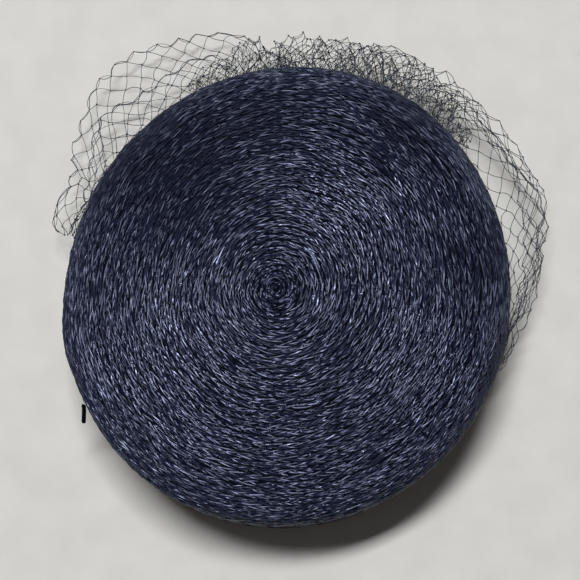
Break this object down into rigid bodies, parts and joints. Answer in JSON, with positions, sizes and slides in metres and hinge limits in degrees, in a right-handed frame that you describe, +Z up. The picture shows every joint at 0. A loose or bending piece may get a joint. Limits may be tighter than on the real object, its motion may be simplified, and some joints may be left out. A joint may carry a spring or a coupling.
{
  "type": "pillbox hat",
  "caption": "Low drum-shaped hat of wound straw with a gently domed crown and a coarse net veil gathered round its front.",
  "frame": {"origin": "middle of the head opening, in the plane of the rim that the hat rests on", "axes": "+Z up through the crown, +Y to the front of the head along the hat's length, +X to the wearer's right"},
  "size_m": [0.2194, 0.2221, 0.072],
  "materials": {
    "straw": "glossy navy wound straw",
    "net": "matt dark navy thread"
  },
  "bodies": {
    "root": {"straw_body": "straw", "veil": "net", "straw_tail": "straw"}
  },
  "joints": []
}
